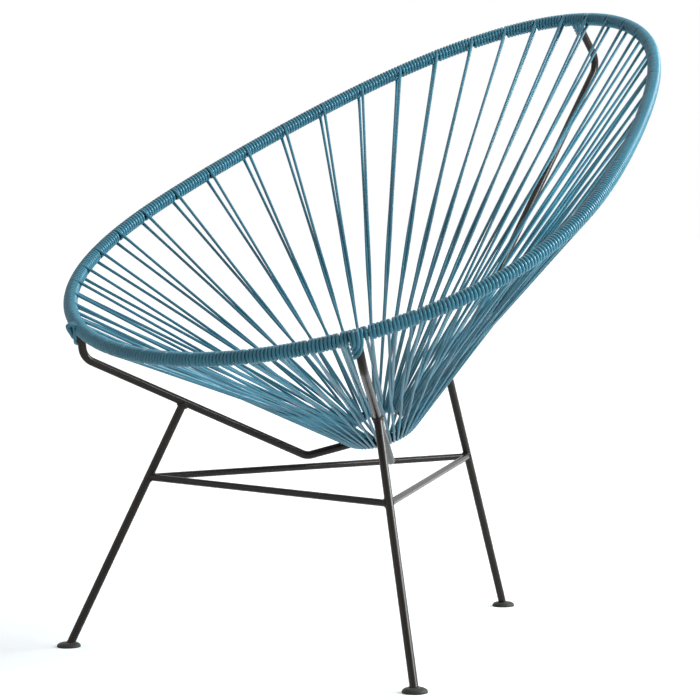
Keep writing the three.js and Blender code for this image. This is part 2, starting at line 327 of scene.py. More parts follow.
def leg_line(side):
    """The top of a leg, on its arm's middle line, and the direction up the leg."""
    elbow, bend = arms[side][1:3]
    top = elbow + (bend - elbow) * leg_joint_share[side]
    return top, unit(top - feet[side])


def leg_point(side, height):
    """The point of a leg's middle line at a height over the floor."""
    axis = leg_line(side)[1]
    return feet[side] + axis * height / axis[2]


# Materials

rod_colour = (0.0150, 0.0105, 0.0085)
rod_dust_colour = (0.042, 0.034, 0.029)
rod_roughness = 0.20
foot_colour = (0.026, 0.025, 0.021)
foot_dust_colour = (0.075, 0.072, 0.060)
foot_roughness = 0.5
cord_deep_colour = (0.028, 0.168, 0.238)
cord_pale_colour = (0.040, 0.218, 0.302)
# Painted shade: the colour the cord is darkened to in the grooves between its turns, against the
# hoop rod
cord_groove_shade_colour = (0.010, 0.058, 0.090)
cord_speck_colour = (0.16, 0.33, 0.42)


def new_group(name, inputs, outputs):
    """An empty shader node group of single values: its inputs and what they are, its outputs."""
    group = bpy.data.node_groups.new(name, "ShaderNodeTree")
    for label, value in inputs.items():
        socket = group.interface.new_socket(label, in_out="INPUT", socket_type="NodeSocketFloat")
        socket.default_value = value
    for label in outputs:
        group.interface.new_socket(label, in_out="OUTPUT", socket_type="NodeSocketFloat")
    return group, group.nodes.new("NodeGroupInput"), group.nodes.new("NodeGroupOutput")


def feed(tree, value, socket):
    """Links a socket to another, or gives it a plain number or colour."""
    if isinstance(value, bpy.types.NodeSocket):
        tree.links.new(value, socket)
    elif isinstance(value, tuple):
        socket.default_value = (*value, 1)
    else:
        socket.default_value = value


def noise(tree, vector, scale, detail, roughness):
    """A noise texture on the given coordinates."""
    texture = tree.nodes.new("ShaderNodeTexNoise")
    texture.inputs["Detail"].default_value = detail
    texture.inputs["Roughness"].default_value = roughness
    feed(tree, scale, texture.inputs["Scale"])
    tree.links.new(vector, texture.inputs["Vector"])
    return texture.outputs["Fac"]


def spread(tree, value, low, high):
    """Stretches a value so that low becomes 0 and high becomes 1, and clamps it."""
    stretch = tree.nodes.new("ShaderNodeMapRange")
    stretch.inputs["From Min"].default_value = low
    stretch.inputs["From Max"].default_value = high
    tree.links.new(value, stretch.inputs["Value"])
    return stretch.outputs["Result"]


def scaled(tree, value, low, high):
    """Turns a value from 0 to 1 into one from low to high."""
    stretch = tree.nodes.new("ShaderNodeMapRange")
    stretch.inputs["To Min"].default_value = low
    stretch.inputs["To Max"].default_value = high
    tree.links.new(value, stretch.inputs["Value"])
    return stretch.outputs["Result"]


def math_node(tree, operation, first, second):
    """A Math node on two sockets or numbers."""
    node = tree.nodes.new("ShaderNodeMath")
    node.operation = operation
    for socket, value in zip(node.inputs, (first, second)):
        feed(tree, value, socket)
    return node.outputs["Value"]


def mixed(tree, share, first, second):
    """A mix of two colours or colour sockets by the second one's share."""
    node = tree.nodes.new("ShaderNodeMix")
    node.data_type = "RGBA"
    colours = [socket for socket in node.inputs if socket.type == "RGBA"]
    tree.links.new(share, node.inputs["Factor"])
    for socket, value in zip(colours, (first, second)):
        feed(tree, value, socket)
    return next(socket for socket in node.outputs if socket.type == "RGBA")


def make_drift_group():
    """Slow patches of change over a surface, from 0 to 1, and finer specks."""
    group, given, made = new_group(
        "surface_drift", {"Patch Scale": 9.0, "Speck Scale": 420.0}, ["Patches", "Specks"])
    place = group.nodes.new("ShaderNodeTexCoord").outputs["Object"]
    patches = noise(group, place, given.outputs["Patch Scale"], detail=3, roughness=0.55)
    specks = noise(group, place, given.outputs["Speck Scale"], detail=2, roughness=0.6)
    group.links.new(spread(group, patches, low=0.3, high=0.7), made.inputs["Patches"])
    group.links.new(spread(group, specks, low=0.5, high=0.72), made.inputs["Specks"])
    return group


def make_skin_group():
    """The fine unevenness of a sprayed or moulded skin, as a height."""
    group, given, made = new_group(
        "fine_skin", {"Grain Scale": 900.0, "Wave Scale": 160.0, "Wave Share": 0.5}, ["Height"])
    place = group.nodes.new("ShaderNodeTexCoord").outputs["Object"]
    grain = noise(group, place, given.outputs["Grain Scale"], detail=2, roughness=0.5)
    wave = noise(group, place, given.outputs["Wave Scale"], detail=1, roughness=0.5)
    lifted = math_node(group, "MULTIPLY", wave, given.outputs["Wave Share"])
    group.links.new(math_node(group, "ADD", grain, lifted), made.inputs["Height"])
    return group


drift_group = make_drift_group()
skin_group = make_skin_group()


def placed_group(tree, group, values):
    """A shader node group placed in a material with its own values."""
    node = tree.nodes.new("ShaderNodeGroup")
    node.node_tree = group
    for label, value in values.items():
        node.inputs[label].default_value = value
    return node


def new_material(name):
    """A material with its node tree and its Principled shader."""
    material = bpy.data.materials.new(name)
    material.use_nodes = True
    tree = material.node_tree
    return material, tree, tree.nodes["Principled BSDF"]


def bump(tree, shader, height, strength, distance):
    """A Bump node from a height to the shader's normal."""
    node = tree.nodes.new("ShaderNodeBump")
    node.inputs["Strength"].default_value = strength
    node.inputs["Distance"].default_value = distance
    tree.links.new(height, node.inputs["Height"])
    tree.links.new(node.outputs["Normal"], shader.inputs["Normal"])


def make_rod_paint(name, base, dusty, roughness):
    """Dark semi-gloss paint on steel, with patches and specks of dust and a fine sprayed skin."""
    patch_dust_share = 0.35
    speck_dust_share = 0.22
    roughness_of_dust = 0.14
    material, tree, shader = new_material(name)
    drift = placed_group(tree, drift_group, {"Patch Scale": 14.0, "Speck Scale": 520.0})
    skin = placed_group(tree, skin_group, {"Grain Scale": 1500.0, "Wave Scale": 230.0,
                                           "Wave Share": 0.9})
    patch_dust = math_node(tree, "MULTIPLY", drift.outputs["Patches"], patch_dust_share)
    speck_dust = math_node(tree, "MULTIPLY", drift.outputs["Specks"], speck_dust_share)
    share = math_node(tree, "ADD", patch_dust, speck_dust)
    tree.links.new(mixed(tree, share, base, dusty), shader.inputs["Base Color"])
    gloss = scaled(tree, share, low=roughness, high=roughness + roughness_of_dust)
    tree.links.new(gloss, shader.inputs["Roughness"])
    shader.inputs["Specular IOR Level"].default_value = 0.2
    shader.inputs["Specular Tint"].default_value = (1.0, 0.96, 0.92, 1)
    bump(tree, shader, skin.outputs["Height"], strength=0.06, distance=0.3 * mm)
    return material


def make_cord_plastic(name):
    """Glossy coloured plastic cord, with painted shade in the grooves where its turns lie in against
    the hoop rod, and faint marks along it.
    """
    speck_share = 0.07
    skin_share = 0.25
    marks_around = 14
    marks_along = 22
    material, tree, shader = new_material(name)
    crest = tree.nodes.new("ShaderNodeAttribute")
    crest.attribute_name = "crest"
    drift = placed_group(tree, drift_group, {"Patch Scale": 11.0, "Speck Scale": 380.0})
    skin = placed_group(tree, skin_group, {"Grain Scale": 1100.0, "Wave Scale": 240.0,
                                           "Wave Share": 0.8})
    # Painted shade: the cord darkens towards the side of each turn that lies against the hoop rod,
    # by its crest mark
    unshaded_share = spread(tree, crest.outputs["Fac"], low=0.15, high=0.75)
    body = mixed(tree, drift.outputs["Patches"], cord_deep_colour, cord_pale_colour)
    groove_shaded = mixed(tree, unshaded_share, cord_groove_shade_colour, body)
    specks = math_node(tree, "MULTIPLY", drift.outputs["Specks"], speck_share)
    tree.links.new(mixed(tree, specks, groove_shaded, cord_speck_colour), shader.inputs["Base Color"])
    gloss = scaled(tree, drift.outputs["Patches"], low=0.27, high=0.37)
    tree.links.new(gloss, shader.inputs["Roughness"])
    shader.inputs["Specular IOR Level"].default_value = 0.42

    along_cord = tree.nodes.new("ShaderNodeUVMap")
    along_cord.uv_map = "along_cord"
    stretch = tree.nodes.new("ShaderNodeMapping")
    stretch.inputs["Scale"].default_value = (marks_around, marks_along, 1)
    tree.links.new(along_cord.outputs["UV"], stretch.inputs["Vector"])
    marks = noise(tree, stretch.outputs["Vector"], scale=1.0, detail=2, roughness=0.6)
    faint_skin = math_node(tree, "MULTIPLY", skin.outputs["Height"], skin_share)
    height = math_node(tree, "ADD", marks, faint_skin)
    bump(tree, shader, height, strength=0.08, distance=0.4 * mm)
    return material


rod_paint = make_rod_paint("rod_paint", rod_colour, rod_dust_colour, rod_roughness)
foot_paint = make_rod_paint("foot_paint", foot_colour, foot_dust_colour, foot_roughness)
cord_plastic = make_cord_plastic("cord_plastic")

# Rods, drawn out from a circle, and their welds

# Edges flatter than these angles, in degrees, are shaded smooth
rod_smooth_angle = 50
bead_smooth_angle = 60
foot_smooth_angle = 35

# Thickness of the weld beads, and how much it ripples
leg_bead = 4.4 * mm
stretcher_bead = 3.0 * mm
foot_bead = 2.4 * mm
ring_bead = 1.2 * mm
bead_ripple = 0.1
bead_ripple_rates = (2.1, 0.7)

# How far short of the other rod's middle line a welded end stops, in thicknesses
leg_end_share = 0.2
stretcher_end_share = 0.3


def finish_piece(piece, name, material, smooth_angle):
    """Applies the piece's place, points its faces outwards, names it, paints it and lets it ride."""
    merge_distance = 0.001 * mm
    bpy.ops.object.mode_set(mode="EDIT")
    bpy.ops.mesh.select_all(action="SELECT")
    bpy.ops.mesh.remove_doubles(threshold=merge_distance)
    bpy.ops.mesh.normals_make_consistent(inside=False)
    bpy.ops.object.mode_set(mode="OBJECT")
    bpy.ops.object.transform_apply(location=True, rotation=True, scale=True)
    bpy.ops.object.shade_smooth_by_angle(angle=math.radians(smooth_angle))
    piece.name = name
    piece.data.name = name
    piece.data.materials.append(material)
    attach(piece, "root")


def draw_rod(corners, bend_radii, diameter):
    """Leaves in edit mode a rod along its corners: straight runs extruded, bends spun."""
    corners = [Vector(corner) for corner in corners]
    direction = (corners[1] - corners[0]).normalized()
    bpy.ops.mesh.primitive_circle_add(
        vertices=rod_sides, radius=diameter / 2, location=corners[0],
        rotation=direction.to_track_quat("Z", "Y").to_euler())
    rod = bpy.context.object
    bpy.ops.object.mode_set(mode="EDIT")
    bpy.ops.mesh.select_all(action="SELECT")
    reached = corners[0]
    for i in range(1, len(corners) - 1):
        inward = (corners[i - 1] - corners[i]).normalized()
        onward = (corners[i + 1] - corners[i]).normalized()
        turn = math.pi - inward.angle(onward)
        setback = bend_radii[i - 1] * math.tan(turn / 2)
        bend_start = corners[i] + inward * setback
        middle = corners[i] + (inward + onward).normalized() * bend_radii[i - 1] / math.cos(turn / 2)
        bpy.ops.mesh.extrude_region_move(TRANSFORM_OT_translate={"value": bend_start - reached})
        bpy.ops.mesh.spin(steps=bend_steps, angle=turn, center=middle, axis=inward.cross(onward))
        reached = corners[i] + onward * setback
    bpy.ops.mesh.extrude_region_move(TRANSFORM_OT_translate={"value": corners[-1] - reached})
    bpy.ops.mesh.select_all(action="SELECT")
    bpy.ops.mesh.fill_holes(sides=rod_sides)
    return rod


def add_rod(name, corners, bend_radii, diameter):
    """A finished painted rod that stands for the CAD node of the same name."""
    rod = draw_rod(corners, bend_radii, diameter)
    finish_piece(rod, name + "_rod", rod_paint, rod_smooth_angle)
    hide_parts(name)


def draw_closed_rod(points, diameter, resolution):
    """A curve: a circle set on a closed line and given its round thickness."""
    bpy.ops.mesh.primitive_circle_add(vertices=len(points), radius=1)
    for vertex, point in zip(bpy.context.object.data.vertices, points):
        vertex.co = point
    bpy.ops.object.convert(target="CURVE")
    rod = bpy.context.object
    rod.data.bevel_depth = diameter / 2
    rod.data.bevel_resolution = resolution
    return rod


def add_bead(name, seam, thickness):
    """A weld bead laid along a closed seam, with the ripples of its run."""
    quick, slow = bead_ripple_rates
    bead = draw_closed_rod(seam, thickness, resolution=2)
    for i, point in enumerate(bead.data.splines[0].points):
        point.radius = 1 + bead_ripple * math.sin(quick * i) + bead_ripple * math.sin(slow * i + 1)
    bpy.ops.object.convert(target="MESH")
    finish_piece(bpy.context.object, name, rod_paint, bead_smooth_angle)


def full_turn(steps):
    """Angles spaced evenly once round."""
    return np.linspace(0, 2 * math.pi, steps + 1)[:-1]


def seam_on_rod(start, axis, radius, other_start, other_axis, other_radius):
    """Points where a rod that comes from start along axis meets the skin of another rod."""
    across = unit(np.cross(axis, other_axis))
    other_across = np.cross(axis, across)
    points = []
    for turn in full_turn(seam_steps):
        edge = start + radius * (across * math.cos(turn) + other_across * math.sin(turn))
        low = edge - other_start
        flat_low = low - other_axis * (low @ other_axis)
        flat_axis = axis - other_axis * (axis @ other_axis)
        a = flat_axis @ flat_axis
        b = 2 * flat_low @ flat_axis
        c = flat_low @ flat_low - other_radius**2
        root = math.sqrt(max(b * b - 4 * a * c, 0))
        points.append(edge + axis * (-b - root) / (2 * a))
    return points


def add_arms_and_legs():
    """The arms, and the legs that are welded to them."""
    for side, corners in arms.items():
        add_rod("arm_" + side, corners, [elbow_radius, bend_radius], frame_rod_diameter)
    for side in arms:
        top, axis = leg_line(side)
        foot_end = feet[side] + axis * leg_end_height / axis[2]
        leg_end = top - axis * frame_rod_diameter * leg_end_share
        add_rod("leg_" + side, [foot_end, leg_end], [], frame_rod_diameter)
        if side != "rear":
            elbow, bend = arms[side][1:3]
            seam = seam_on_rod(foot_end, axis, frame_rod_diameter / 2,
                               elbow, unit(bend - elbow), frame_rod_diameter / 2)
            add_bead("leg_weld_" + side, seam, leg_bead)


def add_stretchers():
    """The three thin rods between the legs, with a weld at each end."""
    ends = {"front": ("left", "right"), "left": ("left", "rear"), "right": ("right", "rear")}
    for name, (start_side, end_side) in ends.items():
        start = leg_point(start_side, stretcher_height[start_side])
        end = leg_point(end_side, stretcher_height[end_side])
        direction = unit(end - start)
        short = direction * frame_rod_diameter * stretcher_end_share
        add_rod("stretcher_" + name, [start + short, end - short], [], stretcher_diameter)
        middle = (start + end) / 2
        for side, towards in ((end_side, direction), (start_side, -direction)):
            seam = seam_on_rod(middle, towards, stretcher_diameter / 2,
                               feet[side], leg_line(side)[1], frame_rod_diameter / 2)
            add_bead(f"stretcher_weld_{name}_{side}", seam, stretcher_bead)


def add_ring():
    """The ring, a rod spun once round and closed by a butt weld."""
    weld_place = 13
    weld_angle = ring_angle(weld_place)
    start = Vector(ring_point(weld_angle))
    side = Vector(ring_outward(weld_angle))
    axis = Vector(hoop_normal)
    bpy.ops.mesh.primitive_circle_add(
        vertices=ring_sides, radius=ring_rod_diameter / 2, location=start,
        rotation=axis.cross(side).to_track_quat("Z", "Y").to_euler())
    ring = bpy.context.object
    bpy.ops.object.mode_set(mode="EDIT")
    bpy.ops.mesh.select_all(action="SELECT")
    bpy.ops.mesh.spin(steps=ring_steps, angle=2 * math.pi, center=Vector(ring_centre), axis=axis)
    finish_piece(ring, "centre_ring_rod", rod_paint, bead_smooth_angle)
    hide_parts("centre_ring")
    reach = ring_rod_diameter / 2
    seam = [np.array(start + side * reach * math.cos(turn) + axis * reach * math.sin(turn))
            for turn in full_turn(round_seam_steps)]
    add_bead("ring_weld", seam, ring_bead)


def add_foot(side):
    """A domed pad: a disc drawn up to its rim, then in and up to its crown."""
    lower_edge = 0.3 * mm
    upper_edge = 0.4 * mm
    dome_turns = [math.radians(turn) for turn in (12, 26, 40, 54, 68, 80, 90)]
    middle = Vector(feet[side])
    radius = foot_radius - lower_edge
    height = 0
    bpy.ops.mesh.primitive_circle_add(
        vertices=foot_sides, radius=radius, fill_type="NGON", location=middle)
    pad = bpy.context.object
    bpy.ops.object.mode_set(mode="EDIT")
    bpy.ops.mesh.select_all(action="SELECT")
    outline = [(foot_radius, lower_edge), (foot_radius, foot_rim_height - upper_edge)]
    outline += [(foot_crown_radius + (foot_radius - foot_crown_radius) * math.cos(turn),
                 foot_rim_height + (foot_height - foot_rim_height) * math.sin(turn))
                for turn in dome_turns]
    for next_radius, next_height in outline:
        bpy.ops.mesh.extrude_region_move(
            TRANSFORM_OT_translate={"value": (0, 0, next_height - height)})
        bpy.ops.transform.resize(value=(next_radius / radius,) * 2 + (1,),
                                 center_override=middle + Vector((0, 0, next_height)))
        radius, height = next_radius, next_height
    finish_piece(pad, "foot_pad_" + side, foot_paint, foot_smooth_angle)
    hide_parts("foot_" + side)

    axis = leg_line(side)[1]
    across = unit(np.cross(axis, sideways))
    other = np.cross(axis, across)
    base = feet[side] + axis * foot_height / axis[2]
    seam = []
    for turn in full_turn(round_seam_steps):
        edge = base + frame_rod_diameter / 2 * (across * math.cos(turn) + other * math.sin(turn))
        seam.append(edge + axis * (foot_height - edge[2]) / axis[2])
    add_bead("foot_weld_" + side, seam, foot_bead)


add_arms_and_legs()
add_stretchers()
add_ring()
for side in feet:
    add_foot(side)

# The hoop rod and the arms' ends under the cord


def add_hoop_rod():
    """The hoop rod, bent to the egg outline."""
    steps_to_a_pair = 6
    steps = steps_to_a_pair * pair_count
    distances = np.arange(steps) * hoop_length / steps
    draw_closed_rod(hoop_frame(distances)[0], hoop_rod_diameter, resolution=3)
    bpy.ops.object.convert(target="MESH")
    rod = bpy.context.object
    finish_piece(rod, "hoop_core", rod_paint, bead_smooth_angle)
    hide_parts("hoop_rod")


add_hoop_rod()


def add_arm_end(side):
    """The end of a front arm, set against the outer side of the hoop under the cord."""
    rise = 4 * mm
    reach_down = 21 * mm
    less_out = 0.5 * mm
    less_thick = 0.4 * mm
    out = shoulder_bulges[side] - less_out
    diameter = frame_rod_diameter - less_thick
    centre, down, outer = arm_directions(side)[:3]
    top = centre - down * rise + outer * out
    end = draw_rod([top, centre + down * reach_down], [], diameter)
    finish_piece(end, "arm_end_" + side, rod_paint, rod_smooth_angle)


# The cord: each section runs from winding to strand, round the ring and back, three times

# Where a strand's points lie along it: closer together where it meets the other strand
strand_shares = np.concatenate((
    (0.02, 0.05, 0.1, 0.2, 0.28), np.linspace(0.34, 0.7, 16), (0.78, 0.88, 0.96)))

# The cord draws thinner once it leaves the winding, and thinnest on the ring
narrowing_shares = (0, 0.06, 0.8, 1)
narrowing_diameters = (cord_diameter, taut_diameter, taut_diameter, loop_diameter)


def winding_point(distance, turn):
    """Points of the cord's middle line on the hoop, turned from outward over the top."""
    centre, _, outward = hoop_frame(distance)
    turned = outward * np.cos(turn)[:, None] + hoop_normal * np.sin(turn)[:, None]
    return centre + turned * winding_radius


def strand_fall(place, angle):
    """How far the strand to an angle on the ring slopes down from the hoop's plane, in radians."""
    distance = hoop_share(place) * hoop_length
    centre, _, outward = (part[0] for part in hoop_frame(np.array([distance])))
    run = ring_point(angle) - centre
    return math.atan2(-run @ hoop_normal, -run @ outward)


def smooth_step(value):
    """From 0 to 1 with no slope at either end."""
    value = np.clip(value, 0, 1)
    return value * value * (3 - 2 * value)


def bay_winding(place):
    """The turns between two pairs, from the strand that comes up to the next that goes down.
    Returns the points, their turns and their distances along the hoop."""
    before = pair_distance(place - 1)
    after = pair_distance(place)
    if after < before:
        after += hoop_length
    turns = round((after - before) / winding_pitch)
    pitch = (after - before) / turns
    up_place = (place - 0.5) % pair_count
    down_place = (place + 0.5) % pair_count
    quarter = math.pi / 2
    first = -quarter + strand_fall(up_place, over_ring_angle(up_place))
    last = quarter + strand_fall(down_place, under_ring_angle(down_place))
    last += 2 * math.pi * (turns - 1)
    steps = round((last - first) / (2 * math.pi) * turn_steps)
    turn = np.linspace(first, last, steps + 1)
    distance = before + pitch * (turn / (2 * math.pi) + 0.5)
    start_shift = before + pair_half_spread - distance[0]
    end_shift = after - pair_half_spread - distance[-1]
    distance = distance + start_shift * (1 - smooth_step((turn - first) / quarter))
    distance = distance + end_shift * (1 - smooth_step((last - turn) / quarter))
    return winding_point(distance, turn), turn, distance


def clear_of_line(points, start, axis, reach):
    """Moves points straight out of a round rod that runs from start along axis."""
    offset = points - start
    along = offset @ axis
    side = offset - along[:, None] * axis
    length = np.linalg.norm(side, axis=1)
    short = (length < reach) & (along > 0)
    moved = points.copy()
    moved[short] = (start + along[:, None] * axis + side / length[:, None] * reach)[short]
    return moved


def hooked_turn(side, start, end, start_shift, end_shift):
    """One turn led down the arm's inner face, round its side and up its outer face, where it
    bulges over the arm's welded end. The shifts are the turn's distances along the hoop past the
    arm at its start and its end: the further on the hook's side, the less deep it hooks."""
    drop_at_middle = 14 * mm
    least_drop = 1 * mm
    drop_rate = 1.7
    depth_rate = 1.15
    bulge_run = 18 * mm
    shoulder_rise = 6 * mm
    most_lean = 1.4
    face_steps = 10
    run_steps = 5
    centre, down, outer, beside = arm_directions(side)
    way_round = hook_sides[side]
    depth = hook_depths[side] - depth_rate * way_round * end_shift
    quarter = np.linspace(0, math.pi / 2, face_steps + 1)
    faces = []
    for shift, face_sign in ((start_shift, 1), (end_shift, -1)):
        lean = np.clip(way_round * shift / arm_winding_radius, -most_lean, most_lean)
        drop = max(drop_at_middle - drop_rate * way_round * shift, least_drop)
        angle = math.pi / 2 + face_sign * (math.pi / 2 - lean) * np.cos(quarter)
        low = depth - drop + drop * np.sin(quarter)
        out = arm_winding_radius * np.cos(angle)
        if face_sign < 0:
            bulge = hook_bulges[side] * np.cos(angle)
            out = out + bulge * (1 - smooth_step(low / bulge_run))
        aside = way_round * arm_winding_radius * np.sin(angle)
        faces.append(centre + down * low[:, None] + outer * out[:, None] + beside * aside[:, None])
    hook = np.concatenate((faces[0], faces[1][::-1][1:]))
    shares = np.linspace(0, 1, run_steps + 1)[:, None]
    inner_run = start + (hook[0] - start) * shares[:-1]
    if not shoulder_bulges[side]:
        return np.concatenate((inner_run, hook, hook[-1] + (end - hook[-1]) * shares[1:]))
    lean = np.clip(way_round * end_shift / arm_winding_radius, -most_lean, most_lean)
    shoulder_out = (arm_winding_radius + shoulder_bulges[side]) * math.cos(lean)
    shoulder = centre - down * shoulder_rise + outer * shoulder_out + beside * end_shift
    outer_run = np.concatenate((hook[-1] + (shoulder - hook[-1]) * shares[1:],
                                shoulder + (end - shoulder) * shares[1:]))
    return np.concatenate((inner_run, hook, outer_run))


def lead_round_arm(points, turn, distance, side):
    """Hooks the turns that meet an arm round one side of it, where they cover the weld."""
    outermost = 2.5 * mm
    just_past = 1e-6
    shoulder_turn = math.radians(60) if hook_bulges[side] else 0
    centre, down, outer, _ = arm_directions(side)
    middle = hoop_share(arm_places[side]) * hoop_length
    outward = hoop_frame(np.array([middle]))[2][0]
    middle += hoop_length * round((distance.mean() - middle) / hoop_length)
    outer_turn = math.atan2(outer @ hoop_normal, outer @ outward)
    first = math.ceil((turn[0] - outer_turn + math.pi) / (2 * math.pi))
    last = math.floor((turn[-1] - outer_turn) / (2 * math.pi))
    led_points, led_turns = [], []
    reached = turn[0]
    for number in range(first, last + 1):
        end_turn = outer_turn + 2 * math.pi * number
        start_turn = end_turn - math.pi
        top_turn = end_turn + shoulder_turn
        places = np.interp((start_turn, end_turn - math.pi / 2, end_turn, top_turn), turn, distance)
        crossing = hook_sides[side] * (places[1] - middle)
        if not -arm_winding_radius < crossing < arm_winding_radius + outermost:
            continue
        start, end = winding_point(places[[0, 3]], np.array((start_turn, top_turn)))
        hooked = hooked_turn(side, start, end, places[0] - middle, places[2] - middle)
        held = (turn >= reached) & (turn < start_turn)
        led_points += [points[held], hooked]
        led_turns += [turn[held], np.linspace(start_turn, top_turn, len(hooked))]
        reached = top_turn + just_past
    held = turn >= reached
    led_points = np.concatenate(led_points + [points[held]])
    led_turns = np.concatenate(led_turns + [turn[held]])
    led_distances = np.interp(led_turns, turn, distance)
    return settle_on_rods(led_points, led_distances, centre, down), led_turns


def settle_on_rods(points, distance, centre, down):
    """Eases the cord's line between the arm and the hoop rod, and keeps it out of both."""
    passes = 4
    held_gap = 0.6 * mm
    hoop_place, hoop_along, _ = hoop_frame(distance)
    for _ in range(passes):
        points = points.copy()
        away = np.linalg.norm(points[1:-1] - hoop_place[1:-1], axis=1)
        free = away > winding_radius + held_gap
        eased = (points[:-2] + 2 * points[1:-1] + points[2:]) / 4
        points[1:-1][free] = eased[free]
        points = clear_of_line(points, centre, down, arm_winding_radius)
        offset = points - hoop_place
        offset_along = (offset * hoop_along).sum(axis=1)
        across = offset - offset_along[:, None] * hoop_along
        length = np.linalg.norm(across, axis=1)
        short = length < winding_radius
        grown = (hoop_place + offset_along[:, None] * hoop_along
                 + across / length[:, None] * winding_radius)
        points[short] = grown[short]
    return points


def make_bay(place):
    """A bay's points and the index at which its winding is parted between two sections."""
    points, turn, distance = bay_winding(place)
    for side, arm_place in arm_places.items():
        if arm_place == place:
            points, turn = lead_round_arm(points, turn, distance, side)
    middle = (turn[0] + turn[-1]) / 2
    under = -math.pi / 2 + 2 * math.pi * round((middle + math.pi / 2) / (2 * math.pi))
    return points, int(np.argmin(abs(turn - under)))


def turn_towards(point, angle):
    """Angle round the ring rod at which a strand from a point on the hoop lies straight out."""
    fall = point - ring_point(angle)
    return math.atan2(fall @ hoop_normal, fall @ ring_outward(angle))


def make_ring_loop(start, end, under_angle, over_angle):
    """The cord's way round the ring rod, from under it to over it, crowding over as it turns."""
    drift_rate = 1.4
    drift_start = 0.3
    reach = (ring_rod_diameter + loop_diameter) / 2 + ring_to_cord_gap
    first = turn_towards(start, under_angle) - math.pi / 2
    last = turn_towards(end, over_angle) - 3 * math.pi / 2
    share = np.linspace(0, 1, loop_steps + 1)
    turn = first + (last - first) * share
    drift = smooth_step(share * drift_rate - drift_start)
    angle = under_angle + (over_angle - under_angle) * drift
    middle = ring_centre + ring_outward(angle) * ring_radius
    return (middle + ring_outward(angle) * (reach * np.cos(turn))[:, None]
            + hoop_normal * (reach * np.sin(turn))[:, None])


def push_apart(down, back, aside):
    """Moves the two strands of a pair aside where they would run through each other."""
    passes = 6
    spread_share = 0.9
    apart = back - down
    beside = apart @ aside
    above = np.linalg.norm(apart - beside[:, None] * aside, axis=1)
    needed = np.sqrt(np.clip(taut_diameter**2 - above**2, 0, None))
    push = np.clip(needed - beside, 0, None) / 2 * (above < taut_diameter)
    for _ in range(passes):
        push[1:-1] = np.maximum(push[1:-1], (push[:-2] + push[2:]) / 2 * spread_share)
    return down - push[:, None] * aside, back + push[:, None] * aside


def make_strands(pair, start, end):
    """From the winding at start down under the ring, round it and back over it up to end.
    Returns the points between and the cord's diameter at each. The two strands cross midway,
    where they press each other aside."""
    loop = make_ring_loop(start, end, under_ring_angle(pair + 0.5), over_ring_angle(pair + 0.5))
    down = start + (loop[0] - start) * strand_shares[:, None]
    back = end + (loop[-1] - end) * strand_shares[:, None]
    along = unit(loop[0] - start)
    aside = unit(np.cross(hoop_normal - along * (hoop_normal @ along), along))
    if aside @ (end - start) < 0:
        aside = -aside
    down, back = push_apart(down, back, aside)
    narrowing = np.interp(strand_shares, narrowing_shares, narrowing_diameters)
    points = np.concatenate((down, loop, back[::-1]))
    diameters = np.concatenate((narrowing, np.full(len(loop), loop_diameter), narrowing[::-1]))
    return points, diameters


def round_corners(points, corners):
    """Eases the cord's middle line where winding and strand meet."""
    passes = 2
    nearby = 2
    for _ in range(passes):
        for corner in corners:
            for i in range(corner - nearby, corner + nearby + 1):
                points[i] = (points[i - 1] + 2 * points[i] + points[i + 1]) / 4
    return points


bays = [make_bay(place) for place in range(pair_count)]


def section_route(first_place):
    """Points and diameters of one section, with a guide point beyond each end."""
    points, part = bays[first_place]
    route = [points[part - 1:]]
    diameters = [np.full(len(points) - part + 1, cord_diameter)]
    corners = []
    for pair in range(first_place, first_place + pairs_in_section):
        next_points, next_part = bays[(pair + 1) % pair_count]
        strand, strand_diameters = make_strands(pair, route[-1][-1], next_points[0])
        corners.append(sum(len(part_points) for part_points in route))
        route.append(strand)
        diameters.append(strand_diameters)
        corners.append(sum(len(part_points) for part_points in route))
        last = pair == first_place + pairs_in_section - 1
        kept = next_points[:next_part + 2] if last else next_points
        route.append(kept)
        diameters.append(np.full(len(kept), cord_diameter))
    return round_corners(np.concatenate(route), corners), np.concatenate(diameters)


def tube_offsets(tangents):
    """Directions from the tube's line to its corners, carried along it without twist."""
    count = len(tangents)
    across = np.zeros((count, 3))
    last = np.cross(tangents[0], hoop_normal)
    for i in range(count):
        last = last - tangents[i] * (last @ tangents[i])
        last = last / np.linalg.norm(last)
        across[i] = last
    other = np.cross(tangents, across)
    turns = 2 * math.pi * np.arange(cord_sides) / cord_sides
    return (across[:, None, :] * np.cos(turns)[None, :, None]
            + other[:, None, :] * np.sin(turns)[None, :, None])


def crest_of_winding(line, offsets):
    """For each corner 0 against the hoop rod and 1 on the outside, and 1 where the cord is free. The
    cord's material paints shade by it, darkest at 0.
    """
    tight_reach = 1.15 * winding_radius
    nearest = np.array([outline_points[np.argmin(((outline_points - point) ** 2).sum(axis=1))]
                        for point in line])
    out = line - nearest
    crest = (offsets * unit(out)[:, None, :]).sum(axis=2) * 0.5 + 0.5
    crest[np.linalg.norm(out, axis=1) >= tight_reach] = 1
    return crest


def tube_faces(count):
    """The quads between a tube's rings of corners, and the caps at its two ends."""
    ring = np.arange(cord_sides)
    after = (ring + 1) % cord_sides
    starts = np.arange(count - 1)[:, None] * cord_sides
    quads = np.stack((starts + ring, starts + after,
                      starts + cord_sides + after, starts + cord_sides + ring), axis=-1)
    last_ring = (count - 1) * cord_sides + ring
    return quads.reshape(-1, 4).tolist() + [ring[::-1].tolist(), last_ring.tolist()]


